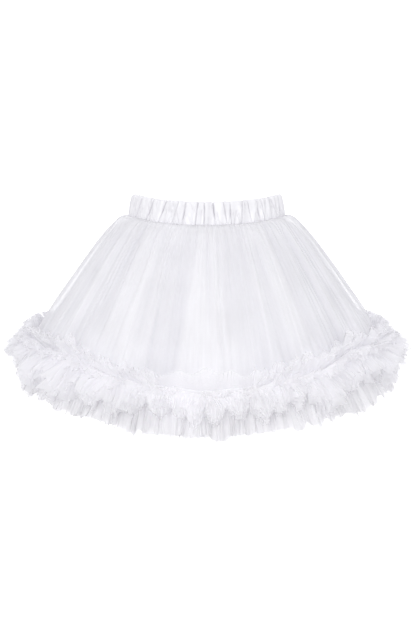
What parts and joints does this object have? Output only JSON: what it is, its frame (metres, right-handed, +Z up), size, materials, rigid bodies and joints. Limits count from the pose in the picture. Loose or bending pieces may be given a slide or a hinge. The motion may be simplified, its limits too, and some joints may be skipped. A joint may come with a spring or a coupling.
{
  "type": "tutu",
  "caption": "Child's tutu: gathered elastic satin waistband, layered tulle skirt flaring outward, and a full gathered tulle ruffle round the hem.",
  "frame": {"origin": "centre of the waist opening, halfway up the waistband at the sides, where the wearer's waist holds it", "axes": "+Z up out of the waist, -Y towards the front, +X towards the wearer's left"},
  "size_m": [0.4928, 0.404, 0.2403],
  "materials": {
    "satin": "soft satin sheen, gathered over elastic",
    "outer_tulle": "fine soft net, see-through",
    "under_tulle": "fine soft net, denser",
    "ruffle_tulle": "crimped fine net, fluffy"
  },
  "bodies": {
    "root": {"waistband_casing": "satin", "skirt_outer_tulle": "outer_tulle", "skirt_under_tulle": "under_tulle", "hem_ruffle_back": "ruffle_tulle", "hem_ruffle_front": "ruffle_tulle", "hem_ruffle_under": "under_tulle"}
  },
  "joints": []
}
